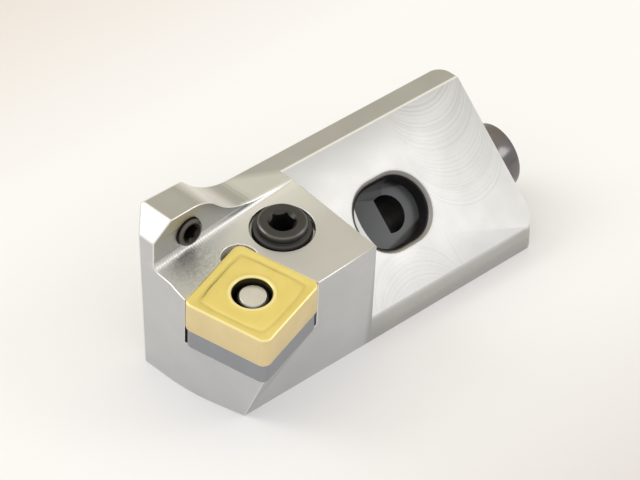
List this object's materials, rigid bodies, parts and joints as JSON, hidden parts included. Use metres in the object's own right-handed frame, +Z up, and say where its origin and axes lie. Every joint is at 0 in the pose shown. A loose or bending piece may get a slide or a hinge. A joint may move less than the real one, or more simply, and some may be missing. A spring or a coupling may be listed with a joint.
{
  "type": "turning tool holder",
  "caption": "Right-hand cartridge turning tool holder: a square insert held by a lever clamp, with adjusting screws for its radial and axial place.",
  "frame": {"origin": "middle of the body's base: half way along it, and half way between its near side and its back locating face", "axes": "+X from the cutting end to the rear end, +Y towards the back locating face, +Z up from the base"},
  "size_m": [0.0615, 0.0247, 0.025],
  "materials": {
    "body_steel": "satin nickel-plated steel",
    "coated_carbide": "pale gold coated carbide",
    "bare_carbide": "ground blue-grey carbide",
    "spring_steel": "plain spring steel",
    "bright_steel": "turned bright steel",
    "black_steel": "black oxide",
    "dark_steel": "dark oxide",
    "gunmetal_steel": "polished gunmetal"
  },
  "bodies": {
    "holder": {"holder_body": "body_steel", "insert": "coated_carbide", "shim": "bare_carbide", "shim_pin": "spring_steel"},
    "clamp_screw": {"lever_screw": "black_steel"},
    "clamp_lever": {"lever": "bright_steel"},
    "radial_adjuster": {"radial_screw": "dark_steel"},
    "axial_adjuster": {"axial_screw": "gunmetal_steel"}
  },
  "joints": [
    {"name": "clamp_screw_travel", "type": "slide", "parent": "holder", "child": "clamp_screw", "axis": [-0.0735, -0.1273, 0.9891], "range_m": [0, 0.00062]},
    {"name": "lever_rock", "type": "hinge", "parent": "holder", "child": "clamp_lever", "pos_m": [-0.02126, -0.00576, 0.00412], "axis": [0.5027, -0.8613, -0.0735], "range_deg": [0, 4]},
    {"name": "radial_screw_travel", "type": "slide", "parent": "holder", "child": "radial_adjuster", "axis": [0, 1, 0], "range_m": [0, 0.002]},
    {"name": "axial_screw_travel", "type": "slide", "parent": "holder", "child": "axial_adjuster", "axis": [1, 0, 0], "range_m": [0, 0.0046]}
  ],
  "couplings": [
    {"joint": "lever_rock", "follows": "clamp_screw_travel", "rad_per_m": 112.6}
  ]
}
